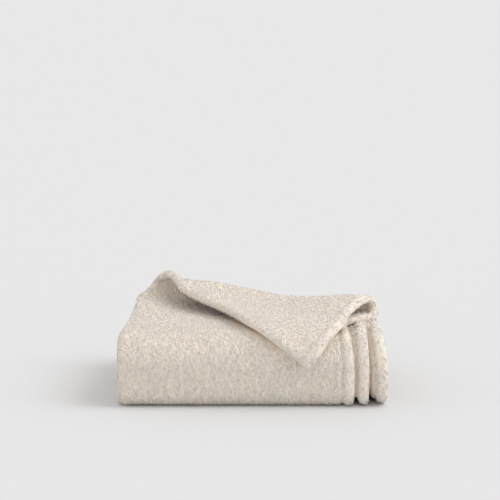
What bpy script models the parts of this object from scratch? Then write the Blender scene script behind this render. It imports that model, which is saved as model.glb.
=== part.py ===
"""A plush knitted baby blanket, folded into an eight layer bundle with one top corner turned over.

The blanket is one flat grid. A fold function carries each of its points to a place in the bundle,
and Solidify gives the surface the thickness of the cloth. X runs along the bundle, Y from front to back.
"""

from math import pi

import bmesh
import bpy
import numpy as np

NAME = "blanket"

# The cloth and its layers, in metres.
PLY = 0.0085  # thickness of the plush knit
PITCH = 0.012  # from the middle of one layer to the middle of the next
LOFT = 0.0095  # air left in the heart of the bundle
DEPTH = 0.266  # front face to the fold at the back
HEIGHT = 7 * PITCH + LOFT + PLY
HALF = PLY / 2
STEP = PITCH / 2

# The outer layer's bends, as radii of its middle surface.
FRONT_FOOT = 0.020
SHOULDER = 0.040

# The left fold, which joins the outer layer to the one inside it.
LEFT_END = -0.1908
LEFT_INSET_AT_BACK = 0.018  # the top leans in this far at the back
INNER_LEFT_END = -0.176  # the same fold on the inner pair of layers
BACK_LEFT_RISE = 0.010  # the pile stands higher at its back left corner
RISE_FROM = (-0.08, 0.12)  # place along the bundle and depth where that starts
RISE_RUN = (0.08, 0.12)  # and over which lengths it grows

# The hems at the right end: the outer layer, the one inside it, and the inner pair.
HEM_OUTER = 0.1435
HEM_SECOND = 0.164
HEM_INNER = 0.1905
HEM_STAGGER = 0.003  # between the two hems of the inner pair
HEM_LEAN = 0.004  # the inner pair's hems lean in this far towards the top
HEM_LEAN_FROM = 0.050  # height where that starts
HEM_LEAN_RUN = 0.018
HEM_RELAX = 0.0119  # a layer springs outwards this far where the one over it ends
HEM_CLEAR = 0.0015  # past that hem, before it does
OPEN_RUN = 0.010  # how soon it does so where it shows
COVERED_RUN = 0.021  # and where another layer still covers it
FADE_ON_TOP = (0.09, 0.05)  # depth where that movement starts to fade on top, and the run
FADE_BELOW = (0.12, 0.09)  # and on every other leg
INNERMOST_SHARE = 0.5  # of that movement, on the layer in the heart of the bundle
NOSE_SQUARE_BELOW = 5.0  # how square the inner bend springs open, in its lower half
NOSE_SQUARE_ABOVE = 2.4
CROOKED = 0.35  # of the step between the outer and the inner hems, that the bottom leg drifts
INNER_TOP_SHORT = 0.006  # the inner layers' free ends stop this far before the back

# The outer layer's hem on top: distance from the front, and place along the bundle.
TOP_HEM_Y = (0.044, 0.075, 0.105, 0.127, 0.150)
TOP_HEM_X = (0.140, 0.137, 0.137, 0.154, 0.184)

# The roll where the corner of the outer layer turns over, from its left end to its right end.
ROLL_LEFT = (-0.118, 0.240)
ROLL_RIGHT = (0.184, 0.150)
ROLL_FLAT_UNTIL = -0.166  # left of this the layer lies flat to its back edge
ROLL_X = (-0.118, -0.073, -0.050, -0.020, 0.015, 0.040, 0.080, 0.115, 0.147, 0.184)
ROLL_RADIUS = (0.0205, 0.0175, 0.0178, 0.0160, 0.0140, 0.0112, 0.0094, 0.0100, 0.0125, 0.0130)
ROLL_LEAN_RUN = 0.070  # the roll turns from along the bundle to its own line over this length
ROLL_TAIL = 0.008  # cloth past the roll where the flap begins
FLAP_GROWN_BY = 0.06  # share of the free edge over which the flap grows out of the curl
OWN_CELLS_BY = 0.3  # and over which the columns go over to cells fitted to the roll

# The flap's free edge, from the roll to the tip: share of the edge, place along the bundle, run
# behind the shoulder (negative in front of it) and height over the layer below.
EDGE_SHARE = (0.00, 0.05, 0.14, 0.26, 0.32, 0.43, 0.53, 0.70, 0.77, 0.87, 0.92, 1.00)
EDGE_X = (-0.118, -0.112, -0.099, -0.076, -0.061, -0.039, -0.024, -0.003, 0.014, 0.039, 0.053, 0.078)
EDGE_RUN = (0.188, 0.157, 0.133, 0.102, 0.088, 0.061, 0.030, -0.011, -0.024, -0.040, -0.049, -0.062)
EDGE_HEIGHT = (0.042, 0.036, 0.030, 0.025, 0.022, 0.019, 0.017, 0.0155, 0.015, 0.0145, 0.0145, 0.0145)

# The flap's hem, from the tip to the roll: run behind the shoulder and place along the bundle.
FLAP_HEM_RUN = (-0.062, -0.047, -0.036, -0.025, -0.010, 0.026, 0.064, 0.088, 0.106)
FLAP_HEM_X = (0.078, 0.097, 0.106, 0.117, 0.131, 0.138, 0.151, 0.162, 0.175)

# How many cells the grid has along each stretch of the cloth.
TOP_FLAT_CELLS = 9
ROLL_CELLS = 7
FLAP_CELLS = 9
EVEN_FLAT_SHARE = 0.56  # of a column's length that its first cells cover where there is no flap
LEG_CELLS = {
    "shoulder": 6,
    "front": 3,
    "foot": 4,
    "bottom": 5,
    "back": 6,
    "inner_bottom": 5,
    "nose": 7,
    "inner_top": 6,
}
COLUMN_STOPS = (0.68, 0.88, 1.0)  # shares of the outer layer's width from its hem: spacing changes there
COLUMN_CELLS = (12, 6, 5)  # columns before each of those stops
LEFT_FOLD_CELLS = 5
OUTER_LEG_CELLS = (7, 4)  # of the second layer: as far as the outer hem, then to its own
INNER_LEG_CELLS = (6, 2, 3)  # on its inner leg: as far as the outer hem, the second one and its own
HEM_EDGE = 0.0035  # width of the rounded edge
HEM_ROOM = (6, 3)  # edges' widths kept free beyond the first two stops
ROOT_STEPS = 30  # halvings that find where a column leaves the bundle
FIRST_ROOT = 0.2
EDGE_THICKNESS = 0.45  # of the ply, at the very edge

# The waviness of the pile at full height: which way a point moves, how far, and the angle whose sine
# scales it, as waves per metre along x, y and z and a start.
WAVES = (
    ("z", 0.0008, 31, 17, 0, 1.2),
    ("z", 0.0008, 31, -17, 0, 1.2),
    ("z", 0.0010, 23, 29, 0, 0.0),
    ("y", 0.0020, 14, 0, 0, 0.6),
    ("y", 0.0009, 37, 0, 30, 0.0),
    ("x", 0.0016, 0, 20, 40, 0.0),
)

CREAM = (0.80, 0.72, 0.62, 1.0)


def smooth(value):
    """0 below 0, 1 above 1 and a soft step between."""
    v = np.clip(value, 0, 1)
    return v * v * (3 - 2 * v)


def curve(at, places, values):
    """A smooth curve through the values given at rising places."""
    slopes = np.gradient(values, places)
    i = int(np.clip(np.searchsorted(places, at) - 1, 0, len(places) - 2))
    run = places[i + 1] - places[i]
    t = np.clip((at - places[i]) / run, 0, 1)
    ends = values[i] * (1 + 2 * t) * (1 - t) ** 2 + values[i + 1] * t**2 * (3 - 2 * t)
    return ends + run * (slopes[i] * t * (1 - t) ** 2 - slopes[i + 1] * t**2 * (1 - t))


def arc(centre, radius, start, end, share):
    """Points and outward normals on an arc in the (y, z) plane."""
    angle = start + (end - start) * share
    normal = np.stack([np.cos(angle), np.sin(angle)], axis=-1)
    return np.asarray(centre) + radius * normal, normal


def line(start, end, normal, share):
    points = np.asarray(start) + (np.asarray(end) - np.asarray(start)) * share[:, None]
    return points, np.tile(np.asarray(normal, float), (len(share), 1))


# The middle line of the doubled strip, between the outer layer and the one inside it.
Z_BOTTOM = HALF + STEP
Z_INNER_BOTTOM = HALF + 5 * STEP
Z_INNER_TOP = HEIGHT - HALF - 5 * STEP
Y_FRONT = HALF + STEP
Y_SHOULDER = HALF + SHOULDER
Y_FOOT = HALF + FRONT_FOOT
Y_BACK = DEPTH - HALF - 3 * STEP
NOSE = (Z_INNER_TOP - Z_INNER_BOTTOM) / 2
Y_NOSE = HALF + 5 * STEP + NOSE
Z_SHOULDER = HEIGHT - HALF - SHOULDER
Z_FOOT = HALF + FRONT_FOOT


def lower_legs():
    """The strip's middle line from the shoulder on: points, normals towards the outer layer, leg names."""
    legs = []
    for name, cells in LEG_CELLS.items():
        edge = HEM_EDGE / (DEPTH - Y_NOSE) if name == "inner_top" else 1 / cells
        share = shares_to_edge(cells, edge)[1:]
        if name == "shoulder":
            found = arc((Y_SHOULDER, Z_SHOULDER), SHOULDER - STEP, pi / 2, pi, share)
        elif name == "front":
            found = line((Y_FRONT, Z_SHOULDER), (Y_FRONT, Z_FOOT), (-1, 0), share)
        elif name == "foot":
            found = arc((Y_FOOT, Z_FOOT), FRONT_FOOT - STEP, pi, 1.5 * pi, share)
        elif name == "bottom":
            found = line((Y_FOOT, Z_BOTTOM), (Y_BACK, Z_BOTTOM), (0, -1), share)
        elif name == "back":
            found = arc((Y_BACK, Z_BOTTOM + PITCH), PITCH, -pi / 2, pi / 2, share)
        elif name == "inner_bottom":
            found = line((Y_BACK, Z_INNER_BOTTOM), (Y_NOSE, Z_INNER_BOTTOM), (0, 1), share)
        elif name == "nose":
            points, outward = arc((Y_NOSE, Z_INNER_BOTTOM + NOSE), NOSE, 1.5 * pi, pi / 2, share)
            found = points, -outward
        else:
            found = line((Y_NOSE, Z_INNER_TOP), (DEPTH - INNER_TOP_SHORT, Z_INNER_TOP), (0, -1), share)
        legs += [(name, place, point, normal) for place, point, normal in zip(share, *found)]
    return legs


def left_end(inner):
    """The left fold's place: inner is 0 on the outer legs and 1 on the inner ones."""
    return LEFT_END + HALF + STEP + (INNER_LEFT_END - LEFT_END) * inner


def stepped(stops, cells):
    """Even cells between stops, leaving out the first stop."""
    spans = zip(stops, stops[1:], cells)
    return np.concatenate([np.linspace(start, end, count + 1)[1:] for start, end, count in spans])


def column_shares():
    """Where the outer layer's columns stand, from its hem (0) to the left fold (1)."""
    edge = HEM_EDGE / (HEM_OUTER - left_end(0))
    return np.concatenate([[0, edge], stepped((edge, *COLUMN_STOPS), COLUMN_CELLS)])


def outer_profile(run, height):
    """(y, z) at a run behind the shoulder on the outer layer, raised by a height along its normal."""
    turn = np.clip(-run / SHOULDER, 0, pi / 2)
    below = np.clip(-run - SHOULDER * pi / 2, 0, None)
    radius = SHOULDER + height
    y = Y_SHOULDER + np.clip(run, 0, None) - radius * np.sin(turn)
    z = Z_SHOULDER + radius * np.cos(turn) - below
    return y, z


def flap_hem_bow(part):
    """How far the flap's hem bends from a straight line, at a share of its way from the roll to the tip."""
    run = FLAP_HEM_RUN[-1] + (FLAP_HEM_RUN[0] - FLAP_HEM_RUN[-1]) * part
    straight = FLAP_HEM_X[-1] + (FLAP_HEM_X[0] - FLAP_HEM_X[-1]) * part
    return float(curve(run, FLAP_HEM_RUN, FLAP_HEM_X)) - straight


def shares_to_edge(cells, edge):
    """Even cells from 0, and a narrow last one for the rounded edge."""
    return np.concatenate([np.linspace(0, 1 - edge, cells), [1]])


def turned(x):
    """How much of its half turn the outer layer makes at its free end, at a place along the bundle."""
    return float(smooth((x - ROLL_FLAT_UNTIL) / (ROLL_LEFT[0] - ROLL_FLAT_UNTIL)))


def roll_start(x):
    """How far back the outer layer leaves the bundle to turn over, at a place along the bundle."""
    if x < ROLL_LEFT[0]:
        part = turned(x)
        at_roll = ROLL_LEFT[1] + pi * ROLL_RADIUS[0] + ROLL_TAIL
        return DEPTH + (at_roll - DEPTH) * part - pi * ROLL_RADIUS[0] * part - ROLL_TAIL
    slope = (ROLL_RIGHT[1] - ROLL_LEFT[1]) / (ROLL_RIGHT[0] - ROLL_LEFT[0])
    return ROLL_LEFT[1] + slope * (x - ROLL_LEFT[0])


def top_left(y):
    return LEFT_END + HALF + STEP + LEFT_INSET_AT_BACK * np.clip(y / DEPTH, 0, 1)


def top_x(share, y):
    """A column's place at depth y on the top: share is 0 at the hem and 1 at the left fold."""
    hem = np.interp(y, TOP_HEM_Y, TOP_HEM_X)
    return hem + (top_left(y) - hem) * share


def stations(lengths, own_share):
    """Where a column's points stand, in metres from the shoulder, for its flat, roll and flap lengths."""
    cells = np.cumsum([0, TOP_FLAT_CELLS, ROLL_CELLS, FLAP_CELLS])
    total = sum(lengths)
    count = np.arange(cells[-1] + 1)
    own = np.interp(count, cells, np.cumsum([0, *lengths]))
    even = np.interp(count, cells[[0, 1, 3]], (0, EVEN_FLAT_SHARE * total, total))
    found = even + (own - even) * own_share
    found[-2] = max(found[-2], total - HEM_EDGE)
    found[-3] = (found[-4] + found[-2]) / 2
    return found


def lifting_column(share, y_root, x_root):
    """A column left of the flap: flat, then curling up towards its free end, as rows from the shoulder."""
    radius = ROLL_RADIUS[0]
    turn = pi * turned(x_root)
    flat = y_root - Y_SHOULDER
    rows = []
    for gone in stations((flat, radius * turn, ROLL_TAIL), 0):
        angle = np.clip((gone - flat) / radius, 0, turn)
        tail = max(gone - flat - radius * turn, 0)
        y = Y_SHOULDER + min(gone, flat) + radius * np.sin(angle) + tail * np.cos(turn)
        z = HEIGHT - HALF + radius * (1 - np.cos(angle)) + tail * np.sin(turn)
        rows.append((float(top_x(share, min(y, y_root))), y, z))
    return rows


def turned_column(share, y_root, x_root):
    """A column of the flap: flat, over the roll and forward to the free edge, as rows from the shoulder."""
    slope = (ROLL_LEFT[1] - ROLL_RIGHT[1]) / (ROLL_RIGHT[0] - ROLL_LEFT[0])
    lean = np.arctan(slope) * float(smooth((x_root - ROLL_LEFT[0]) / ROLL_LEAN_RUN))
    across = np.array([np.sin(lean), np.cos(lean)])
    along = np.array([np.cos(lean), -np.sin(lean)])
    radius = float(curve(x_root, ROLL_X, ROLL_RADIUS))
    z_outer = HEIGHT - HALF
    root = np.array([x_root, y_root])
    leave = root - along * np.tan(lean) * radius * pi
    edge_share = (x_root - ROLL_LEFT[0]) / (ROLL_RIGHT[0] - ROLL_LEFT[0])
    has_flap = float(smooth(edge_share / FLAP_GROWN_BY))
    end_x = float(curve(edge_share, EDGE_SHARE, EDGE_X))
    end_run = float(curve(edge_share, EDGE_SHARE, EDGE_RUN))
    end_height = float(curve(edge_share, EDGE_SHARE, EDGE_HEIGHT))
    start_run = leave[1] - Y_SHOULDER
    reach = np.hypot(end_run - start_run, end_x - leave[0])
    lengths = (y_root - Y_SHOULDER, pi * radius, ROLL_TAIL + (reach - ROLL_TAIL) * has_flap)
    rows = []
    for gone in stations(lengths, float(smooth(edge_share / OWN_CELLS_BY))):
        angle = (gone - lengths[0]) / radius
        part = (gone - lengths[0] - lengths[1]) / lengths[2]
        if angle <= 0:
            y = Y_SHOULDER + gone
            rows.append((float(top_x(share, y)), y, z_outer))
        elif part <= 0:
            place = root + across * radius * np.sin(angle) - along * np.tan(lean) * radius * angle
            rows.append((place[0], place[1], z_outer + radius * (1 - np.cos(angle))))
        else:
            tail_point = np.array([*(leave - across * ROLL_TAIL * part), z_outer + 2 * radius])
            run = start_run + (end_run - start_run) * part
            height = end_height + (2 * radius - end_height) * (1 - part) ** 2
            x = leave[0] + (end_x - leave[0]) * part + edge_share**2 * flap_hem_bow(part)
            flap_point = np.array([x, *outer_profile(run, height)])
            rows.append(tuple(tail_point + (flap_point - tail_point) * has_flap))
    return rows


def outer_top(share):
    """The outer layer's top leg for one column, from its free end to the shoulder, as (x, y, z) rows."""
    y_root = FIRST_ROOT
    for _ in range(ROOT_STEPS):
        y_root = (y_root + roll_start(float(top_x(share, y_root)))) / 2
    x_root = float(top_x(share, y_root))
    column = lifting_column if x_root < ROLL_LEFT[0] else turned_column
    return column(share, y_root, x_root)[::-1]


def relax(x, y, first_hem, second_hem, layer, fade_from, fade_run):
    """How far layer 1, 2 or 3 in from the outside springs outwards at (x, y), past the hems over it."""
    first_run = OPEN_RUN if layer == 1 else COVERED_RUN
    second_run = OPEN_RUN if layer == 2 else COVERED_RUN
    shift = HEM_RELAX * smooth((x - first_hem - HEM_CLEAR) / first_run)
    if layer > 1:
        shift = shift + HEM_RELAX * smooth((x - second_hem - HEM_CLEAR) / second_run)
    if layer == 3:
        shift = shift * INNERMOST_SHARE
    return float(shift * (1 - smooth((y - fade_from) / fade_run)))


def nose_stretch(normal):
    """How many times further the inner bend springs towards a square front than it does straight ahead."""
    square = NOSE_SQUARE_BELOW if normal[1] > 0 else NOSE_SQUARE_ABOVE
    reach = (abs(normal[0]) ** square + abs(normal[1]) ** square) ** (-1 / square) * (Y_NOSE - HALF)
    radius = NOSE + STEP
    return (reach - radius) / (Y_NOSE - HALF - radius)


def between(start, end, share):
    return start + (end - start) * share


def bottom_drift(y):
    """The fold at the back is a little crooked, so the hems and left fold drift: 0 outer, 1 inner."""
    return float(CROOKED * np.clip((y - Y_FOOT) / (Y_BACK - Y_FOOT), 0, 1))


def drift(name, share, y):
    if name in ("shoulder", "front", "foot"):
        return 0.0
    if name == "bottom":
        return bottom_drift(y)
    if name == "back":
        return between(CROOKED, 1 - CROOKED, share)
    if name == "inner_bottom":
        return 1 - bottom_drift(y)
    return 1.0


def second_places(left, outer_hem, own_hem, moved):
    """Where the second layer's columns stand, from the left fold to its hem, close set at each hem."""
    last = own_hem - HEM_EDGE
    first = min(outer_hem + HEM_CLEAR, last - HEM_ROOM[1] * HEM_EDGE)
    outer = stepped((left, first, last), OUTER_LEG_CELLS)
    hems = zip((HEM_OUTER, HEM_SECOND), HEM_ROOM)
    steps = [min(hem + HEM_CLEAR, last - room * HEM_EDGE) for hem, room in hems]
    inner = stepped((left, *steps, last), INNER_LEG_CELLS)
    return np.append(between(outer, inner, moved), own_hem)


def lower_row(leg, outer_shares, fold_turns):
    """One row across the doubled strip below the top: outer layer, left fold, second layer."""
    name, share, point, normal = leg
    y, z = point
    inside = name in ("nose", "inner_top", "inner_bottom")
    moved = drift(name, share, y)
    rise = 1 - share if name == "shoulder" else 0.0
    left = left_end(moved) + LEFT_INSET_AT_BACK * Y_SHOULDER / DEPTH * rise
    lean = HEM_LEAN * float(smooth((z - HEM_LEAN_FROM) / HEM_LEAN_RUN)) if inside else 0.0
    outer_hem = between(between(HEM_OUTER, TOP_HEM_X[0], rise), HEM_INNER - HEM_STAGGER, moved) - lean
    second_hem = between(HEM_SECOND, HEM_INNER, moved) - lean
    fade = FADE_ON_TOP if name == "inner_top" else FADE_BELOW
    over_first, over_second = (HEM_OUTER if inside else outer_hem), HEM_SECOND
    if name == "inner_top":
        over_first = float(np.interp(y, TOP_HEM_Y, TOP_HEM_X))
    elif name == "inner_bottom":
        over_first = between(HEM_OUTER, HEM_INNER - HEM_STAGGER, bottom_drift(y))
        over_second = between(HEM_SECOND, HEM_INNER, bottom_drift(y))
    stretch = nose_stretch(normal) if name == "nose" else 1.0
    row = []
    for part in outer_shares:
        x = between(outer_hem, left, part)
        out = -stretch * relax(x, y, over_first, over_second, 3, *fade) if inside else 0.0
        row.append((x, *(point + normal * (STEP + out))))
    for turn in fold_turns:
        row.append((left - STEP * np.sin(turn), *(point + normal * STEP * np.cos(turn))))
    for x in second_places(left, outer_hem, second_hem, moved):
        if inside:
            out = -stretch * relax(x, y, over_first, over_second, 2, *fade)
        else:
            out = relax(x, y, over_first, over_second, 1, *fade)
        row.append((x, *(point + normal * (out - STEP))))
    return row


def top_rows(outer_shares, fold_turns):
    """The rows of the top leg, from its free end to the shoulder."""
    columns = [outer_top(share) for share in outer_shares]
    depths = [point[1] for point in columns[-1]]
    middle = HEIGHT - HALF - STEP
    for turn in fold_turns:
        columns.append(
            [(float(top_left(y)) - STEP * np.sin(turn), y, middle + STEP * np.cos(turn)) for y in depths]
        )
    second = []
    for y in depths:
        over = float(np.interp(y, TOP_HEM_Y, TOP_HEM_X))
        places = second_places(float(top_left(y)), over, HEM_SECOND, 0)
        heights = [middle - STEP + relax(x, y, over, HEM_SECOND, 1, *FADE_ON_TOP) for x in places]
        second.append([(x, y, z) for x, z in zip(places, heights)])
    columns += [list(column) for column in zip(*second)]
    return [list(row) for row in zip(*columns)]


def uneven(points):
    """A slight waviness and a higher back left corner, which grow from nothing where the bundle rests."""
    x, y, z = points.T
    lift = np.clip((z - HALF) / HEIGHT, 0, None)
    moved = points.copy()
    for way, size, along_x, along_y, along_z, start in WAVES:
        moved[:, "xyz".index(way)] += lift * size * np.sin(along_x * x + along_y * y + along_z * z + start)
    corner = smooth((RISE_FROM[0] - x) / RISE_RUN[0]) * smooth((y - RISE_FROM[1]) / RISE_RUN[1])
    moved[:, 2] += lift * BACK_LEFT_RISE * corner
    return moved


def folded_points():
    """Every point of the folded sheet, row by row from the free end, and the size of the grid."""
    outer_shares = column_shares()
    fold_turns = np.linspace(0, pi, LEFT_FOLD_CELLS + 1)[1:]
    rows = top_rows(outer_shares, fold_turns)
    rows += [lower_row(leg, outer_shares, fold_turns) for leg in lower_legs()]
    points = uneven(np.array(rows, float).reshape(-1, 3))
    return points, len(rows[0]), len(rows)


def cream_knit():
    material = bpy.data.materials.new("cream_boucle_knit")
    material.use_nodes = True
    shader = material.node_tree.nodes["Principled BSDF"]
    shader.inputs["Base Color"].default_value = CREAM
    shader.inputs["Roughness"].default_value = 0.95
    shader.inputs["Metallic"].default_value = 0.0
    return material


def folded_sheet(points, across, along):
    """The flat grid with each point moved to its place in the bundle."""
    mesh = bpy.data.meshes.new(NAME)
    grid = bmesh.new()
    bmesh.ops.create_grid(grid, x_segments=across - 1, y_segments=along - 1, size=0.5)
    grid.verts.ensure_lookup_table()
    for vert in grid.verts:
        column = round((vert.co.x + 0.5) * (across - 1))
        row = round((vert.co.y + 0.5) * (along - 1))
        vert.co = points[row * across + column]
    grid.to_mesh(mesh)
    grid.free()
    mesh.shade_smooth()
    mesh.materials.append(cream_knit())
    return bpy.data.objects.new(NAME, mesh)


def thicken(sheet):
    """Gives the sheet its ply, thinner at the very edge so that the hem is rounded."""
    mesh = sheet.data
    used = np.zeros(len(mesh.vertices), int)
    for edge in mesh.edges:
        for vertex in edge.vertices:
            used[vertex] += 1
    body = sheet.vertex_groups.new(name="body")
    body.add([int(i) for i in np.flatnonzero(used == 4)], 1.0, "REPLACE")
    solidify = sheet.modifiers.new("ply", "SOLIDIFY")
    solidify.thickness = PLY
    solidify.offset = 0.0
    solidify.use_even_offset = True
    solidify.use_rim = True
    solidify.vertex_group = body.name
    solidify.thickness_vertex_group = EDGE_THICKNESS


def stand_on_origin(sheet):
    """Moves the mesh so that the origin is under the middle of the bundle, on the surface it rests on."""
    bpy.context.view_layer.update()
    solid = sheet.evaluated_get(bpy.context.evaluated_depsgraph_get())
    corners = np.array(solid.bound_box)
    low, high = corners.min(axis=0), corners.max(axis=0)
    for vertex in sheet.data.vertices:
        vertex.co.x -= (low[0] + high[0]) / 2
        vertex.co.y -= (low[1] + high[1]) / 2
        vertex.co.z -= low[2]


for old in list(bpy.data.objects):
    bpy.data.objects.remove(old, do_unlink=True)
collection = bpy.data.collections.new("baby_blanket")
bpy.context.scene.collection.children.link(collection)
blanket = folded_sheet(*folded_points())
collection.objects.link(blanket)
thicken(blanket)
stand_on_origin(blanket)
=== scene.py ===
"""A plush knitted baby blanket in cream boucle yarn, folded to a bundle of eight layers, one top corner turned over."""

from math import pi, radians

import bpy
import numpy as np
from mathutils.bvhtree import BVHTree
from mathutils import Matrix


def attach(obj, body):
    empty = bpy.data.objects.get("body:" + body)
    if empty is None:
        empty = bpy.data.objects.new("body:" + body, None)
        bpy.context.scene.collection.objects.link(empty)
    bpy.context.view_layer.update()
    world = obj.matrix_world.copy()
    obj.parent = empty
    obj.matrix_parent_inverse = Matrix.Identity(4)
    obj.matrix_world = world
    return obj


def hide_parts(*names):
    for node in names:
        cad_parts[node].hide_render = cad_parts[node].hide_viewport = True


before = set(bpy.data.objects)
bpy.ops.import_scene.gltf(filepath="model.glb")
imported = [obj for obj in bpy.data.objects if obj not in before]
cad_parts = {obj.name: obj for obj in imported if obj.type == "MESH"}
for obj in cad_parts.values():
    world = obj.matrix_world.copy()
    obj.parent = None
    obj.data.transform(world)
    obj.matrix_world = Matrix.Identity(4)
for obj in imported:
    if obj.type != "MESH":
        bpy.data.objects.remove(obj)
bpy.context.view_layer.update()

# The panel: one piece knitted from boucle yarn, about 0.72 m by 1.1 m, its edges turned and stitched as a hem.
# It is folded once to the left and then three times front to back, so a doubled strip winds in from the outside.
# The outer layer lies on top, runs down the front, along the bottom and up the back, and its top corner turns over.
PLY = 0.0068  # thickness of the knit under its nap
PITCH = 0.012  # from the middle of one layer to the middle of the next
STEP = PITCH / 2
HALF = 0.00425  # from the middle of the outer layer to its outer face
DEPTH = 0.266  # front face to the fold at the back
HEIGHT = 0.102
FRONT_FOOT = 0.020  # radius of the bend at the foot of the front
SHOULDER = 0.040  # and at its top
INNER_TOP_SHORT = 0.006  # the innermost leg ends this far from the fold at the back
LEFT_END = -0.1908
LEFT_LEAN = 0.018  # the top leans in this far at the back
LEFT_END_INNER = -0.176
HEM_OUTER = 0.1435  # where each layer ends on the right
HEM_SECOND = 0.164
HEM_INNER = 0.1905
HEM_STAGGER = 0.003  # the inner pair's own two hems differ this much
HEM_LEAN = 0.004  # and lean in this far towards the top, from this height and over this one
HEM_LEAN_HEIGHTS = (0.050, 0.018)
SPRING = 0.0119  # a layer springs outwards this far past the hem of the layer over it
SPRING_FROM = 0.0015
SPRING_OPEN = 0.010  # over this run where it shows, and over the next one where it is covered
SPRING_COVERED = 0.021
SPRING_THIRD = 0.5  # share of it that the third layer in makes
SPRING_ON_TOP = (0.09, 0.05)  # it fades from this depth, over this run
SPRING_BELOW = (0.12, 0.09)
NOSE_SQUARE = (5.0, 2.4)  # how square the inner bend's end springs open, in its lower and upper half
CROOKED = 0.35  # of the step between hems, by which the fold at the back is out of square
CORNER = {"y": (0.044, 0.075, 0.105, 0.127, 0.150), "x": (0.140, 0.137, 0.137, 0.154, 0.184)}  # the top's own hem
ORIGIN = (0.00031, 0.12963, 0.0)  # the middle of the footprint, from the foot of the front face

Y_SHOULDER = HALF + SHOULDER
Z_SHOULDER = HEIGHT - HALF - SHOULDER
Y_FOOT = HALF + FRONT_FOOT
Y_BACK = DEPTH - HALF - 3 * STEP
Z_LOW = HALF + STEP
Z_LOW_INNER = HALF + 5 * STEP
Z_HIGH_INNER = HEIGHT - HALF - 5 * STEP
NOSE = (Z_HIGH_INNER - Z_LOW_INNER) / 2
Y_NOSE = HALF + 5 * STEP + NOSE

# The strip's middle line below the top, leg by leg: start y, z, end y, z, radius, start and end angle, and which way
# the outer layer lies from it.
LEGS = np.array(
    [
        (Y_SHOULDER, Z_SHOULDER, Y_SHOULDER, Z_SHOULDER, SHOULDER - STEP, 90, 180, 1),
        (HALF + STEP, Z_SHOULDER, HALF + STEP, Y_FOOT, 0, 180, 180, 1),
        (Y_FOOT, Y_FOOT, Y_FOOT, Y_FOOT, FRONT_FOOT - STEP, 180, 270, 1),
        (Y_FOOT, Z_LOW, Y_BACK, Z_LOW, 0, 270, 270, 1),
        (Y_BACK, Z_LOW + PITCH, Y_BACK, Z_LOW + PITCH, PITCH, -90, 90, 1),
        (Y_BACK, Z_LOW_INNER, Y_NOSE, Z_LOW_INNER, 0, 90, 90, 1),
        (Y_NOSE, Z_LOW_INNER + NOSE, Y_NOSE, Z_LOW_INNER + NOSE, NOSE, 270, 90, -1),
        (Y_NOSE, Z_HIGH_INNER, DEPTH - INNER_TOP_SHORT, Z_HIGH_INNER, 0, 270, 270, 1),
    ]
)
SHOULDER_LEG, BOTTOM_LEG, BACK_LEG, INNER_BOTTOM_LEG, NOSE_LEG, INNER_TOP_LEG = 0, 3, 4, 5, 6, 7

# The roll where the corner turns over, from its left end to its right end as (x, y).
ROLL_LEFT = (-0.118, 0.240)
ROLL_RIGHT = (0.184, 0.150)
ROLL_FLAT_UNTIL = -0.166  # left of this the layer lies flat to its back edge
ROLL = {
    "x": (-0.118, -0.073, -0.050, -0.020, 0.015, 0.040, 0.080, 0.115, 0.147, 0.184),
    "radius": (0.0205, 0.0175, 0.0178, 0.0160, 0.0140, 0.0112, 0.0094, 0.0100, 0.0125, 0.0130),
}
ROLL_LEAN_RUN = 0.070  # the roll turns from along the bundle to its own line over this length
ROLL_TAIL = 0.008  # cloth past the roll where the flap begins
ROOT_STEPS = 30  # halvings that find where a column leaves the bundle, from this first guess
FIRST_ROOT = 0.2

# The grid's shares of a column from the shoulder to the free edge: flat until the first, on the roll until the second.
ROLL_STOPS = (0.36, 0.64)
EVEN_FLAT_SHARE = 0.56  # of a column's length that its first share covers where there is no flap
OWN_SHARES_BY = 0.3  # share of the free edge over which the columns go over to shares fitted to the roll
FLAP_GROWN_BY = 0.06  # and over which the flap grows out of the curl

# The flap's free edge, from the roll to the tip: share of the edge, place along the bundle, run behind the shoulder
# (negative in front of it) and height over the layer below. Then its hem, from the tip back to the roll.
EDGE = {
    "share": (0.00, 0.05, 0.14, 0.26, 0.32, 0.43, 0.53, 0.70, 0.77, 0.87, 0.92, 1.00),
    "x": (-0.118, -0.112, -0.099, -0.076, -0.061, -0.039, -0.024, -0.003, 0.014, 0.039, 0.053, 0.078),
    "run": (0.188, 0.157, 0.133, 0.102, 0.088, 0.061, 0.030, -0.011, -0.024, -0.040, -0.049, -0.062),
    "height": (0.042, 0.036, 0.030, 0.025, 0.022, 0.019, 0.017, 0.0155, 0.015, 0.0145, 0.0145, 0.0145),
}
FLAP_HEM = {
    "run": (-0.062, -0.047, -0.036, -0.025, -0.010, 0.026, 0.064, 0.088, 0.106),
    "x": (0.078, 0.097, 0.106, 0.117, 0.131, 0.138, 0.151, 0.162, 0.175),
}


def smooth(value):
    """A soft step: 0 below 0, 1 above 1."""
    v = np.clip(value, 0, 1)
    return v * v * (3 - 2 * v)


def between(start, end, share):
    """The start, plus the share of the way from it to the end."""
    return start + (end - start) * share


def curve(at, places, values):
    """A smooth curve through the values given at rising places: cubic pieces with shared slopes."""
    places, values = np.asarray(places), np.asarray(values)
    slopes = np.gradient(values, places)
    i = np.clip(np.searchsorted(places, at) - 1, 0, len(places) - 2)
    run = places[i + 1] - places[i]
    t = np.clip((at - places[i]) / run, 0, 1)
    ends = values[i] * (1 + 2 * t) * (1 - t) ** 2 + values[i + 1] * t**2 * (3 - 2 * t)
    return ends + run * (slopes[i] * t * (1 - t) ** 2 - slopes[i + 1] * t**2 * (1 - t))


def top_left(y):
    """Where the left fold's middle is on top, at depth y: it leans in evenly towards the back."""
    return LEFT_END + HALF + STEP + LEFT_LEAN * np.clip(y / DEPTH, 0, 1)


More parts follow.
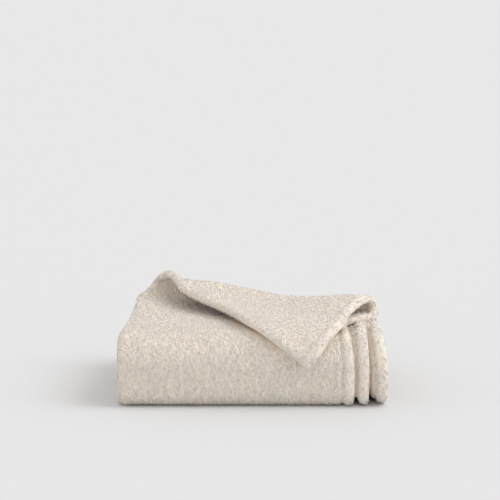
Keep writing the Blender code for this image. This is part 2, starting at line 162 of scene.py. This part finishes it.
def top_x(share, y):
    """Place along the bundle on top: share is 0 at the outer layer's hem and 1 at the left fold."""
    return between(np.interp(y, CORNER["y"], CORNER["x"]), top_left(y), share)


def roll_start(x):
    """How far back the outer layer leaves the bundle to turn over: a straight line, bent back at the left."""
    slope = (ROLL_RIGHT[1] - ROLL_LEFT[1]) / (ROLL_RIGHT[0] - ROLL_LEFT[0])
    part = smooth((x - ROLL_FLAT_UNTIL) / (ROLL_LEFT[0] - ROLL_FLAT_UNTIL))
    lifting = between(DEPTH - ROLL_TAIL, ROLL_LEFT[1], part)
    return np.where(x < ROLL_LEFT[0], lifting, ROLL_LEFT[1] + slope * (x - ROLL_LEFT[0]))


def outer_face(run, height):
    """(y, z) at a run behind the shoulder on the outer layer, raised by a height.

    The layer is flat behind the shoulder, makes a quarter turn over it and then goes straight down.
    """
    turn = np.clip(-run / SHOULDER, 0, pi / 2)
    y = Y_SHOULDER + np.clip(run, 0, None) - (SHOULDER + height) * np.sin(turn)
    z = Z_SHOULDER + (SHOULDER + height) * np.cos(turn) - np.clip(-run - SHOULDER * pi / 2, 0, None)
    return y, z


def outer_top(share, back):
    """The outer layer on top. share runs from its hem to the left fold, back from the shoulder to its free edge.

    Each line of knitting lies flat, turns over a roll and then runs forward to the flap's edge; at the left it only
    curls up. Lengths of the three stretches set how far along it each point is.
    """
    y_root = np.full_like(share, FIRST_ROOT)
    for _ in range(ROOT_STEPS):
        y_root = (y_root + roll_start(top_x(share, y_root))) / 2
    x_root = top_x(share, y_root)
    curls = x_root < ROLL_LEFT[0]
    edge = np.clip((x_root - ROLL_LEFT[0]) / (ROLL_RIGHT[0] - ROLL_LEFT[0]), 0, 1)
    slope = np.arctan((ROLL_LEFT[1] - ROLL_RIGHT[1]) / (ROLL_RIGHT[0] - ROLL_LEFT[0]))
    lean = slope * smooth((x_root - ROLL_LEFT[0]) / ROLL_LEAN_RUN)
    radius = curve(x_root, ROLL["x"], ROLL["radius"])
    turn = np.where(curls, pi * smooth((x_root - ROLL_FLAT_UNTIL) / (ROLL_LEFT[0] - ROLL_FLAT_UNTIL)), pi)
    leave_x = x_root - np.cos(lean) * np.tan(lean) * radius * pi
    leave_y = y_root + np.sin(lean) * np.tan(lean) * radius * pi
    end_x = curve(edge, EDGE["share"], EDGE["x"])
    end_run = curve(edge, EDGE["share"], EDGE["run"])
    end_height = curve(edge, EDGE["share"], EDGE["height"])
    has_flap = smooth(edge / FLAP_GROWN_BY)
    start_run = leave_y - Y_SHOULDER
    reach = np.hypot(end_run - start_run, end_x - leave_x)
    flat_length = y_root - Y_SHOULDER
    roll_length = radius * turn
    flap_length = between(ROLL_TAIL, reach, has_flap)
    total = flat_length + roll_length + flap_length
    roll_from, flap_from = ROLL_STOPS
    own = flat_length * np.clip(back / roll_from, 0, 1)
    own = own + roll_length * np.clip((back - roll_from) / (flap_from - roll_from), 0, 1)
    own = own + flap_length * np.clip((back - flap_from) / (1 - flap_from), 0, 1)
    even = total * np.interp(back, (0, roll_from, 1), (0, EVEN_FLAT_SHARE, 1))
    gone = between(even, own, smooth(edge / OWN_SHARES_BY))
    angle = np.clip((gone - flat_length) / radius, 0, turn)
    part = np.clip((gone - flat_length - roll_length) / flap_length, 0, 1)
    over = np.clip(gone - flat_length - roll_length, 0, None)

    flat = np.clip(gone, 0, flat_length)
    low = HEIGHT - HALF
    curl_y = Y_SHOULDER + flat + radius * np.sin(angle) + over * np.cos(turn)
    curl_z = low + radius * (1 - np.cos(angle)) + over * np.sin(turn)
    curl_x = top_x(share, np.minimum(curl_y, y_root))

    roll_x = np.where(angle > 0, x_root + np.sin(lean) * radius * np.sin(angle), top_x(share, Y_SHOULDER + flat))
    roll_x = roll_x - np.cos(lean) * np.tan(lean) * radius * angle
    roll_y = Y_SHOULDER + flat + np.cos(lean) * radius * np.sin(angle) + np.sin(lean) * np.tan(lean) * radius * angle
    tail_x = leave_x - np.sin(lean) * ROLL_TAIL * part
    tail_y = leave_y - np.cos(lean) * ROLL_TAIL * part
    hem_run = between(FLAP_HEM["run"][-1], FLAP_HEM["run"][0], part)
    hem_bow = curve(hem_run, FLAP_HEM["run"], FLAP_HEM["x"]) - between(FLAP_HEM["x"][-1], FLAP_HEM["x"][0], part)
    flap_x = between(leave_x, end_x, part) + edge**2 * hem_bow
    height = end_height + (2 * radius - end_height) * (1 - part) ** 2
    flap_y, flap_z = outer_face(between(start_run, end_run, part), height)
    beyond = over > 0
    turned_x = np.where(beyond, between(tail_x, flap_x, has_flap), roll_x)
    turned_y = np.where(beyond, between(tail_y, flap_y, has_flap), roll_y)
    turned_z = np.where(beyond, between(low + 2 * radius, flap_z, has_flap), low + radius * (1 - np.cos(angle)))
    found = [np.where(curls, a, b) for a, b in ((curl_x, turned_x), (curl_y, turned_y), (curl_z, turned_z))]
    return np.stack(found, axis=-1)


def spring(x, y, hem, next_hem, layer, fade):
    """How far the layer, 1, 2 or 3 in from the outside, springs outwards at (x, y) past the hems over it."""
    first = smooth((x - hem - SPRING_FROM) / (SPRING_OPEN if layer == 1 else SPRING_COVERED))
    second = smooth((x - next_hem - SPRING_FROM) / (SPRING_OPEN if layer == 2 else SPRING_COVERED))
    share = first + (second if layer > 1 else 0)
    return SPRING * share * (SPRING_THIRD if layer == 3 else 1) * (1 - smooth((y - fade[0]) / fade[1]))


def fold(u, v):
    """The cloth's middle, in the bundle, from the foot of the front face.

    u runs across the panel: 0 to 1 is the outer layer, from its hem to the left fold, 1 to 2 goes round that fold and
    2 to 3 is the layer inside it, as far as its hem. v runs along it: 0 to 1 is the top, from its free edge to the
    shoulder, and each whole step after that is one of the strip's legs. A leg is a straight line or an arc in the
    (y, z) plane, and the two layers lie half a pitch to either side of it.
    """
    share, turn, inner = np.clip(u, 0, 1), np.clip(u - 1, 0, 1) * pi, np.clip(u - 2, 0, 1)
    outer, second = u <= 1, u > 2

    on_top = outer_top(share, 1 - np.clip(v, 0, 1))
    side = outer_top(np.ones_like(u), 1 - np.clip(v, 0, 1))
    y = side[..., 1]
    middle = HEIGHT - HALF - STEP
    lift = (side[..., 2] - HEIGHT + HALF) * (1 - turn / pi)
    over = np.interp(y, CORNER["y"], CORNER["x"])
    second_x = between(top_left(y), HEM_SECOND, inner)
    second_z = middle - STEP + spring(second_x, y, over, HEM_SECOND, 1, SPRING_ON_TOP)
    top_x_at = np.where(second, second_x, top_left(y) - STEP * np.sin(turn))
    top_z_at = np.where(second, second_z, middle + STEP * np.cos(turn) + lift)
    top = np.where(outer[..., None], on_top, np.stack([top_x_at, y, top_z_at], axis=-1))

    leg = np.clip(np.ceil(v).astype(int) - 2, 0, len(LEGS) - 1)
    t = np.clip(v - 1 - leg, 0, 1)
    y0, z0, y1, z1, radius, start, end, way = np.moveaxis(LEGS[leg], -1, 0)
    angle = np.radians(between(start, end, t))
    y = between(y0, y1, t) + radius * np.cos(angle)
    z = between(z0, z1, t) + radius * np.sin(angle)
    skew = CROOKED * np.clip((y - Y_FOOT) / (Y_BACK - Y_FOOT), 0, 1)
    inner_legs = leg >= INNER_BOTTOM_LEG
    moved = np.select(
        [leg < BOTTOM_LEG, leg == BOTTOM_LEG, leg == BACK_LEG, leg == INNER_BOTTOM_LEG],
        [0, skew, between(CROOKED, 1 - CROOKED, t), 1 - skew],
        1.0,
    )
    rise = np.where(leg == SHOULDER_LEG, 1 - t, 0)
    left = LEFT_END + HALF + STEP + (LEFT_END_INNER - LEFT_END) * moved + LEFT_LEAN * Y_SHOULDER / DEPTH * rise
    outer_hem = between(between(HEM_OUTER, CORNER["x"][0], rise), HEM_INNER - HEM_STAGGER, moved)
    second_hem = between(HEM_SECOND, HEM_INNER, moved)
    lean = HEM_LEAN * smooth((z - HEM_LEAN_HEIGHTS[0]) / HEM_LEAN_HEIGHTS[1]) * inner_legs
    outer_hem, second_hem = outer_hem - lean, second_hem - lean
    under = leg == INNER_BOTTOM_LEG
    first_over = np.where(leg == INNER_TOP_LEG, np.interp(y, CORNER["y"], CORNER["x"]), HEM_OUTER)
    first_over = np.where(under, between(HEM_OUTER, HEM_INNER - HEM_STAGGER, skew), first_over)
    second_over = np.where(under, between(HEM_SECOND, HEM_INNER, skew), HEM_SECOND)
    fade = [np.where(leg == INNER_TOP_LEG, a, b) for a, b in zip(SPRING_ON_TOP, SPRING_BELOW)]
    outer_x = between(outer_hem, left, share)
    second_x = between(left, second_hem, inner)
    square = np.where(angle > pi, *NOSE_SQUARE)
    corner_reach = (np.abs(np.cos(angle)) ** square + np.abs(np.sin(angle)) ** square) ** (-1 / square)
    stretch = (corner_reach * (Y_NOSE - HALF) - NOSE - STEP) / (Y_NOSE - HALF - NOSE - STEP)
    stretch = np.where(leg == NOSE_LEG, stretch, 1)
    outer_out = STEP - np.where(inner_legs, stretch * spring(outer_x, y, first_over, second_over, 3, fade), 0)
    second_out = np.where(
        inner_legs,
        -stretch * spring(second_x, y, first_over, second_over, 2, fade),
        spring(second_x, y, outer_hem, HEM_SECOND, 1, fade),
    )
    x = np.select([outer, second], [outer_x, second_x], left - STEP * np.sin(turn))
    out = np.select([outer, second], [outer_out, second_out - STEP], STEP * np.cos(turn))
    below = np.stack([x, y + way * np.cos(angle) * out, z + way * np.sin(angle) * out], axis=-1)
    return np.where((v < 1)[..., None], top, below)


# The waviness of the pile at full height, as in the solid: the axis that a point moves along, how far, and the angle
# whose sine scales it, as waves along x, y and z and a start.
WAVES = (
    (2, 0.0008, (31, 17, 0), 1.2),
    (2, 0.0008, (31, -17, 0), 1.2),
    (2, 0.0010, (23, 29, 0), 0.0),
    (1, 0.0020, (14, 0, 0), 0.6),
    (1, 0.0009, (37, 0, 30), 0.0),
    (0, 0.0016, (0, 20, 40), 0.0),
)
BACK_LEFT_RISE = 0.010  # the pile stands higher at its back left corner
BACK_LEFT_FROM = (-0.08, 0.12)  # (x, y) that it grows from, over these runs
BACK_LEFT_RUN = (0.08, 0.12)


def uneven(points):
    """The points, moved by the waves and the higher corner, which grow with height from nothing on the floor."""
    x, y, z = np.moveaxis(points, -1, 0)
    move = np.zeros_like(points)
    for axis, far, waves, start in WAVES:
        move[..., axis] += far * np.sin(points @ waves + start)
    at_back = smooth((y - BACK_LEFT_FROM[1]) / BACK_LEFT_RUN[1])
    at_left = smooth((BACK_LEFT_FROM[0] - x) / BACK_LEFT_RUN[0])
    move[..., 2] += BACK_LEFT_RISE * at_back * at_left
    return points + np.clip((z - HALF) / HEIGHT, 0, None)[..., None] * move


def stops(ends, counts):
    """Even steps between the ends, as many as the counts say."""
    spans = [np.linspace(a, b, n + 1)[:-1] for a, b, n in zip(ends, ends[1:], counts)]
    return np.concatenate([*spans, ends[-1:]])


def spline(count, places):
    """Weights that carry a row of evenly numbered points to a smooth cubic curve, straight past its two ends."""
    i = np.clip(np.floor(places).astype(int), 0, count - 2)
    t = places - i
    basis = np.stack([(1 - t) ** 3, 3 * t**3 - 6 * t**2 + 4, -3 * t**3 + 3 * t**2 + 3 * t + 1, t**3]) / 6
    weights = np.zeros((len(places), count + 2))
    weights[np.arange(len(places)), i + np.arange(4)[:, None]] = basis
    kept = weights[:, 1:-1]
    kept[:, [0, 1]] += weights[:, :1] * [2, -1]
    kept[:, [-1, -2]] += weights[:, -1:] * [2, -1]
    return kept


# Even steps across and along the panel, as (place, steps from there to the next), closer where it bends and at the
# hems. There are about three times as many after the cubic smoothing that rounds the cloth off between stretches.
ACROSS_STEPS = ((0, 3), (0.05, 24), (1, 5), (2, 16), (2.75, 12), (3, 0))
ALONG_STEPS = ((0, 2), (0.04, 38), (1, 7), (2, 5), (3, 5), (4, 9), (5, 7), (6, 7), (7, 7), (8, 8), (8.97, 2), (9, 0))
FINE_ACROSS = 150
FINE_ALONG = 320
across, along = stops(*zip(*ACROSS_STEPS)), stops(*zip(*ALONG_STEPS))
bends = uneven(fold(*np.meshgrid(across, along))) - ORIGIN
fine_across = np.linspace(0, len(across) - 1, FINE_ACROSS)
fine_along = np.linspace(0, len(along) - 1, FINE_ALONG)
middle = np.einsum("ri,ijc,sj->rsc", spline(len(along), fine_along), bends, spline(len(across), fine_across))
u_at = np.interp(fine_across, np.arange(len(across)), across)
v_at = np.interp(fine_along, np.arange(len(along)), along)
normal = np.cross(np.gradient(middle, axis=0), np.gradient(middle, axis=1))
normal /= np.linalg.norm(normal, axis=-1, keepdims=True)


def lengths_along(points, axis):
    """How much cloth there is from the first edge to each point, and from each point to the last edge."""
    steps = np.linalg.norm(np.diff(points, axis=axis), axis=-1)
    pad = [(1, 0) if a == axis else (0, 0) for a in range(2)]
    gone = np.cumsum(np.pad(steps, pad), axis=axis)
    return gone, np.take(gone, [-1], axis=axis) - gone


from_hem, to_hem = lengths_along(middle, 1)
from_end, to_end = lengths_along(middle, 0)
to_edge = np.minimum(np.minimum(from_hem, to_hem), np.minimum(from_end, to_end))

# The hem: the panel's edge, turned over once and stitched down, so it is a little thicker all round. Along the two long
# hems the stitching pulls a groove into both sides. Half the ply at a point is the knit's own half, plus the swelling,
# less the groove, times a quarter circle that rounds off the very edge.
HEM_WIDTH = 0.015
HEM_SWELL = 0.0020
SWELL_FADE = (0.7, 0.4)  # of the hem's width: the swelling fades from there, over this
HEM_GROOVE = 0.0022
GROOVE_WIDTH = 0.0026
EDGE_ROUND = 0.0055
EDGE_LEAST = 0.02  # share of that run at which the edge is cut off flat
rounded = np.sqrt(1 - (1 - np.clip(to_edge / EDGE_ROUND, EDGE_LEAST, 1)) ** 2)
swell = HEM_SWELL * (1 - smooth((to_edge - HEM_WIDTH * SWELL_FADE[0]) / (HEM_WIDTH * SWELL_FADE[1])))
to_side = np.minimum(from_hem, to_hem)
groove = HEM_GROOVE * np.exp(-(((to_side - HEM_WIDTH) / GROOVE_WIDTH) ** 2))
half_ply = (PLY / 2 + swell - groove) * rounded

# The two sides of the cloth. Where the bundle rests, its nap is pressed to an even face on the floor.
PRESSED = 0.00085
PRESSED_UP_TO = 0.004  # the pressing fades out over this much height
pressed = PRESSED * rounded * (1 - smooth((middle[..., 2] - HALF) / PRESSED_UP_TO))
wrong_side = middle + normal * half_ply[..., None]  # the side that shows where the corner turns over
right_side = middle - normal * (half_ply + pressed)[..., None]
for side in (wrong_side, right_side):
    side[..., 2] = np.maximum(side[..., 2], 0)
number = np.arange(to_edge.size).reshape(to_edge.shape)
upper = np.stack([number[:-1, :-1], number[1:, :-1], number[1:, 1:], number[:-1, 1:]], axis=-1).reshape(-1, 4)
lower = upper[:, ::-1] + to_edge.size
ring = np.concatenate([number[:-1, 0], number[-1, :-1], number[:0:-1, -1], number[0, :0:-1]])
after = np.roll(ring, -1)
rim = np.stack([after, ring, ring + to_edge.size, after + to_edge.size], axis=-1)


def mesh_object(name, points, faces):
    """A smooth object at the origin, with its place in its mesh."""
    mesh = bpy.data.meshes.new(name)
    mesh.from_pydata(points, [], faces)
    mesh.polygons.foreach_set("use_smooth", np.ones(len(mesh.polygons), bool))
    mesh.update()
    made = bpy.data.objects.new(name, mesh)
    bpy.context.scene.collection.objects.link(made)
    return made


def set_tone(piece, values):
    """Gives each point of a piece its tone, from 0 for the deep cream to 1 for the pale one."""
    piece.data.attributes.new("tone", "FLOAT", "POINT").data.foreach_set("value", values)


# The panel's UV map is in metres of cloth from its hem and its free edge.
both_sides = np.concatenate([wrong_side.reshape(-1, 3), right_side.reshape(-1, 3)])
panel = mesh_object("panel", both_sides, np.concatenate([upper, lower, rim]))
cloth = np.stack([from_hem, from_end], axis=-1).reshape(-1, 2)
corner = np.zeros(len(panel.data.loops), int)
panel.data.loops.foreach_get("vertex_index", corner)
panel.data.uv_layers.new(name="cloth").data.foreach_set("uv", np.concatenate([cloth, cloth])[corner].ravel())
GROUND_TONE = 0.35
HEM_TONE = 0.3  # the stitched hem is this much paler, being packed closer
set_tone(panel, np.tile((GROUND_TONE + HEM_TONE * (to_side < HEM_WIDTH)).ravel(), 2))


class Socket:
    """A shader socket that takes part in sums: each operator adds its Math node."""

    def __init__(self, tree, socket):
        self.tree, self.socket = tree, socket

    def math(self, operation, first, second):
        """A Math node on two sockets or numbers, in this order."""
        return node(self.tree, "ShaderNodeMath", {"operation": operation}, {0: first, 1: second})

    def __add__(self, other):
        return self.math("ADD", self, other)

    def __mul__(self, other):
        return self.math("MULTIPLY", self, other)

    def __sub__(self, other):
        return self.math("SUBTRACT", self, other)

    def __rsub__(self, other):
        return self.math("SUBTRACT", other, self)

    __radd__, __rmul__ = __add__, __mul__


def node(tree, kind, settings, inputs, output=0):
    """Adds a node: its settings first, then the values or links of its sockets."""
    made = tree.nodes.new(kind)
    for name, value in settings.items():
        setattr(made, name, value)
    for name, value in inputs.items():
        if isinstance(value, Socket):
            tree.links.new(value.socket, made.inputs[name])
        else:
            made.inputs[name].default_value = value
    return Socket(tree, made.outputs[output]) if made.outputs else made


# Boucle yarn: uneven, matt and soft, in two creams. Light goes some way into the knit, so its hollows stay warm.
MOTTLE = {"Scale": 38.0, "Detail": 3.0}  # patches some 25 mm across
NUBS = {"Scale": 330.0, "Detail": 4.0, "Roughness": 0.65}  # and the yarn's own knots, some 3 mm
TONE_SHARE, MOTTLE_SHARE, NUB_SHARE, TONE_SHIFT = 0.6, 0.5, 0.4, 0.3  # the last is taken off their sum
NUB_RELIEF = {"Strength": 0.8, "Distance": 0.0016}
MATT = {"Roughness": 0.95, "Sheen Weight": 0.05, "Sheen Roughness": 0.6}
THIN = {"Subsurface Radius": (1.0, 0.6, 0.35), "Subsurface Scale": 0.008}
GROUND_CREAMS = ((0.885, 0.755, 0.605, 1), (0.925, 0.885, 0.835, 1))
GROUND_GLOW = 0.25
MIX_FACTOR, MIX_FIRST, MIX_SECOND, MIX_RESULT = 0, 6, 7, 2  # a colour Mix node's sockets, by number


def boucle(name, creams, glow):
    """A yarn that goes from the deep to the pale cream as a sum of its tone and two noises does.

    glow is how much of the light goes through the cloth, as it does through any thin pale knit.
    """
    material = bpy.data.materials.new(name)
    material.use_nodes = True
    tree = material.node_tree
    tree.nodes.clear()
    place = node(tree, "ShaderNodeTexCoord", {}, {}, "Object")
    mottle = node(tree, "ShaderNodeTexNoise", {}, MOTTLE | {"Vector": place}, "Fac")
    nubs = node(tree, "ShaderNodeTexNoise", {}, NUBS | {"Vector": place}, "Fac")
    tone = node(tree, "ShaderNodeAttribute", {"attribute_name": "tone"}, {}, "Fac")
    mixed = tone * TONE_SHARE + mottle * MOTTLE_SHARE + nubs * NUB_SHARE - TONE_SHIFT
    ends = {MIX_FACTOR: mixed, MIX_FIRST: creams[0], MIX_SECOND: creams[1]}
    yarn = node(tree, "ShaderNodeMix", {"data_type": "RGBA"}, ends, MIX_RESULT)
    lift = node(tree, "ShaderNodeBump", {}, NUB_RELIEF | {"Height": nubs})
    look = MATT | THIN | {"Base Color": yarn, "Normal": lift, "Subsurface Weight": glow}
    shader = node(tree, "ShaderNodeBsdfPrincipled", {}, look)
    node(tree, "ShaderNodeOutputMaterial", {}, {"Surface": shader})
    return material


panel.data.materials.append(boucle("cream_boucle_ground", GROUND_CREAMS, GROUND_GLOW))
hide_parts("blanket")
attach(panel, "root")

# The nap: loops that the boucle yarn throws up on both sides of the cloth. They are laid wherever nothing lies on it,
# as joined rings of yarn, partly sunk in the knit, roughly in line with its columns.
LOOP_STEP = 0.0033  # one loop to a square of this size
LOOP_MOST = 6600  # in one piece
LOOP_CORNERS = 5
YARN_CORNERS = 3
LOOP_LONG = (0.0016, 0.0030)  # half a loop's length, along the knitting
LOOP_TALL = (0.0012, 0.0018)  # and half its height
YARN = (0.00055, 0.00080)  # the yarn's radius
LOOP_SUNK = 0.15  # of half its height
LOOP_ASKEW = radians(40)  # most that one turns away from the columns
LOOP_LEAN = radians(72)  # and leans over
NAP_ROOM = 0.010  # least room over the cloth where the nap stands
OFF_FLOOR = 0.001  # least height of cloth with a nap, and how far off the cloth that room is measured from
MOUTH = (0.145, 0.100)  # between layers that stand apart, the nap is seen past this x at the right and y at the back
HEM_LOOPS = 0.55  # share of the loops that the stitched hem still shows
LOOP_CREAMS = ((0.90, 0.84, 0.775, 1), (0.94, 0.918, 0.895, 1))
chance = np.random.default_rng(5)
bpy.context.view_layer.update()
cloth_tree = BVHTree.FromObject(panel, bpy.context.evaluated_depsgraph_get())


def length_one(vectors):
    """The vectors, each over its own length."""
    return vectors / np.linalg.norm(vectors, axis=-1, keepdims=True)


def lies_open(face, up):
    """Whether a cell of a face is off the floor and has no other cloth within NAP_ROOM of it.

    It is tested at two opposite corners of the cell. On the hem each corner also passes by chance, with the square
    root of the share of loops that the hem shows.
    """
    rays = zip((face + OFF_FLOOR * up).reshape(-1, 3), up.reshape(-1, 3))
    free = [cloth_tree.ray_cast(start, way, NAP_ROOM)[0] is None for start, way in rays]
    free = np.reshape(free, face.shape[:2]) & (face[..., 2] > OFF_FLOOR)
    free = free & ((to_side > HEM_WIDTH) | (chance.random(free.shape) < HEM_LOOPS**0.5))
    return free[:-1, :-1] & free[1:, 1:]


def loops(name, face, up, chosen):
    """Rings of yarn strewn by area over the chosen cells of a face.

    Each is an ellipse in a plane that leans to one side of the face's normal, with a round yarn about it: the centre
    plus long * cos(a) + tall * sin(a), plus the yarn's radius times a unit vector turned about that line.
    """
    sides = np.cross(face[1:, :-1] - face[:-1, :-1], face[:-1, 1:] - face[:-1, :-1])
    area = np.where(chosen, np.linalg.norm(sides, axis=-1), 0).ravel().cumsum()
    count = min(int(area[-1] / LOOP_STEP**2), LOOP_MOST)
    corners = LOOP_CORNERS * YARN_CORNERS
    at = np.searchsorted(area, (np.arange(count) + chance.random(count)) / count * area[-1])
    i, j = np.divmod(at, chosen.shape[1])
    a, b = chance.random((2, count, 1))
    grain = np.gradient(face, axis=0)
    place, rise, run = [
        between(between(grid[i, j], grid[i + 1, j], a), between(grid[i, j + 1], grid[i + 1, j + 1], a), b)
        for grid in (face, up, grain)
    ]
    rise, run = length_one(rise), length_one(run)
    askew, lean = chance.uniform(-1, 1, (2, count, 1)) * [[[LOOP_ASKEW]], [[LOOP_LEAN]]]
    long = run * np.cos(askew) + np.cross(rise, run) * np.sin(askew)
    tall = rise * np.cos(lean) + np.cross(rise, long) * np.sin(lean)
    axis = np.cross(long, tall)
    half_long, half_tall, yarn = [chance.uniform(*size, (count, 1, 1, 1)) for size in (LOOP_LONG, LOOP_TALL, YARN)]
    place = place - rise * LOOP_SUNK * half_tall[:, 0, 0]
    place, long, tall, axis = [vector[:, None, None] for vector in (place, long, tall, axis)]
    angle = np.linspace(0, 2 * pi, LOOP_CORNERS, endpoint=False)[:, None, None]
    about = np.linspace(0, 2 * pi, YARN_CORNERS, endpoint=False)[None, :, None]
    outward = long * np.cos(angle) + tall * np.sin(angle)
    points = place + long * half_long * np.cos(angle) + tall * half_tall * np.sin(angle)
    points = points + yarn * (outward * np.cos(about) + axis * np.sin(about))
    points[..., 2] = np.maximum(points[..., 2], 0)
    own = np.arange(corners).reshape(LOOP_CORNERS, YARN_CORNERS)
    ring = np.stack([own, np.roll(own, -1, 0), np.roll(own, (-1, -1), (0, 1)), np.roll(own, -1, 1)], axis=-1)
    faces = (np.arange(count)[:, None, None] * corners + ring.reshape(-1, 4)).reshape(-1, 4)
    made = mesh_object(name, points.reshape(-1, 3), faces)
    set_tone(made, np.repeat(chance.random(count), corners))
    return made


# The cells of each piece of nap: u and v are those of fold(), so a leg's v runs from its number plus 1.
wrong_up = length_one(np.cross(np.gradient(wrong_side, axis=0), np.gradient(wrong_side, axis=1)))
right_up = -length_one(np.cross(np.gradient(right_side, axis=0), np.gradient(right_side, axis=1)))
wrong_open = lies_open(wrong_side, wrong_up)
right_open = lies_open(right_side, right_up)
u_cell, v_cell = np.meshgrid(u_at[:-1], v_at[:-1])
outer, left_fold = u_cell < 1, (u_cell >= 1) & (u_cell < 2)
on_top, below, inside = v_cell < 1, v_cell >= BOTTOM_LEG + 1, v_cell >= INNER_BOTTOM_LEG + 1
mouth = (middle[:-1, :-1, 0] > MOUTH[0]) | (middle[:-1, :-1, 1] > MOUTH[1])
nap = [
    loops("nap_top", right_side, right_up, right_open & outer & on_top),
    loops("nap_front", right_side, right_up, right_open & outer & ~on_top & ~below),
    loops("nap_back", right_side, right_up, right_open & outer & below & ~inside),
    loops("nap_inside", right_side, right_up, right_open & outer & inside & mouth),
    loops("nap_folds", right_side, right_up, right_open & ~outer & (left_fold | mouth)),
    loops("nap_corner", wrong_side, wrong_up, wrong_open & outer & on_top),
    loops("nap_hems", wrong_side, wrong_up, wrong_open & ~(outer & on_top)),
]
pile = boucle("cream_boucle_loops", LOOP_CREAMS, 0.0)
for piece in nap:
    piece.data.materials.append(pile)
    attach(piece, "root")

# The floor: a plain pale sweep of paper, not part of the object. The blanket, cut flat to about 0.72 m by 1.1 m, lies
# folded on it.
FLOOR = [(-40, -40, 0), (40, -40, 0), (40, 60, 0), (-40, 60, 0)]
floor = mesh_object("floor", FLOOR, [(0, 1, 2, 3)])
paper = bpy.data.materials.new("pale_paper")
paper.use_nodes = True
paper.node_tree.nodes["Principled BSDF"].inputs["Base Color"].default_value = (0.752, 0.762, 0.780, 1)
paper.node_tree.nodes["Principled BSDF"].inputs["Roughness"].default_value = 1.0
floor.data.materials.append(paper)

# Soft studio light: an even, slightly warm surround, and a large cool lamp high on the right and a little in front.
world = bpy.data.worlds.new("studio")
bpy.context.scene.world = world
world.use_nodes = True
world.node_tree.nodes["Background"].inputs["Color"].default_value = (1, 0.975, 0.945, 1)
world.node_tree.nodes["Background"].inputs["Strength"].default_value = 0.82
lamp_data = bpy.data.lights.new("softbox", "SUN")
lamp_data.angle = radians(42)
lamp_data.energy = 1.07
lamp_data.color = (0.975, 0.99, 1.0)
lamp = bpy.data.objects.new("softbox", lamp_data)
lamp.rotation_euler = (radians(42), 0, radians(80))
bpy.context.scene.collection.objects.link(lamp)
bpy.context.scene.view_settings.view_transform = "Standard"

# The camera: a long lens from the front, looking down by 11 degrees, 3 m away as the photograph's flat perspective
# says. Its place is measured from the foot of the front face.
CAMERA_FROM_FOOT = (-0.0028, -2.898, 0.7765)
camera_data = bpy.data.cameras.new("camera")
camera_data.sensor_width = 36
camera_data.lens = 153.5
camera = bpy.data.objects.new("camera", camera_data)
camera.location = np.subtract(CAMERA_FROM_FOOT, ORIGIN)
camera.rotation_euler = (radians(79.25), 0, 0)
bpy.context.scene.collection.objects.link(camera)
bpy.context.scene.camera = camera
